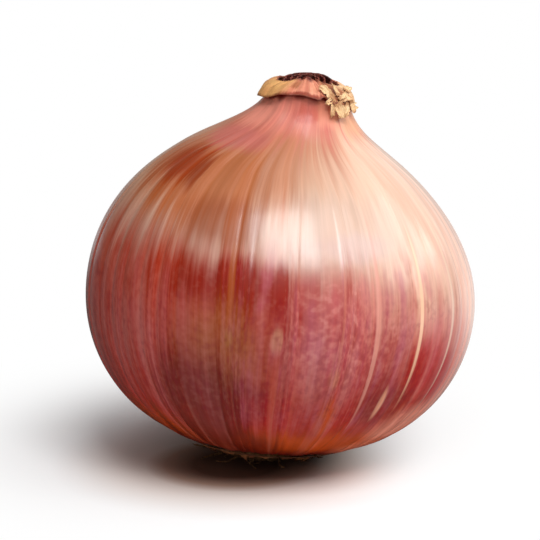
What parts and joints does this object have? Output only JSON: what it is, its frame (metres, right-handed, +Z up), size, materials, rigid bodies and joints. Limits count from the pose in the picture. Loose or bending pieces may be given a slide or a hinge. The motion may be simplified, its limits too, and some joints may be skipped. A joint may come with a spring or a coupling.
{
  "type": "onion",
  "caption": "Whole bulb onion with glossy veined red-brown skin, a torn papery collar round its dried neck, and a root plate that it rests on.",
  "frame": {"origin": "centre of the small flat spot under the root plate, on the surface that the onion stands on", "axes": "+Z up, away from the surface; +X the way the neck leans, which is to the viewer's right; -Y towards the viewer, on the side where the collar folds in"},
  "size_m": [0.0761, 0.0749, 0.0754],
  "materials": {
    "bulb_skin": "satin",
    "dry_skin": "matte",
    "dried_leaf": "matte",
    "cork": "matte",
    "dried_root": "matte"
  },
  "bodies": {
    "root": {"bulb": "bulb_skin", "neck_collar": "dry_skin", "torn_flake_1": "dry_skin", "torn_flake_2": "dry_skin", "torn_flake_3": "dry_skin", "torn_flake_4": "dry_skin", "torn_flake_5": "dry_skin", "leaf_base_1": "dried_leaf", "leaf_base_2": "dried_leaf", "leaf_base_3": "dried_leaf", "leaf_tip": "dried_leaf", "root_plate": "cork", "root_01": "dried_root", "root_02": "dried_root", "root_03": "dried_root", "root_04": "dried_root", "root_05": "dried_root", "root_06": "dried_root", "root_07": "dried_root", "root_08": "dried_root", "root_09": "dried_root", "root_10": "dried_root", "root_11": "dried_root", "root_12": "dried_root", "root_13": "dried_root", "root_14": "dried_root"}
  },
  "joints": []
}
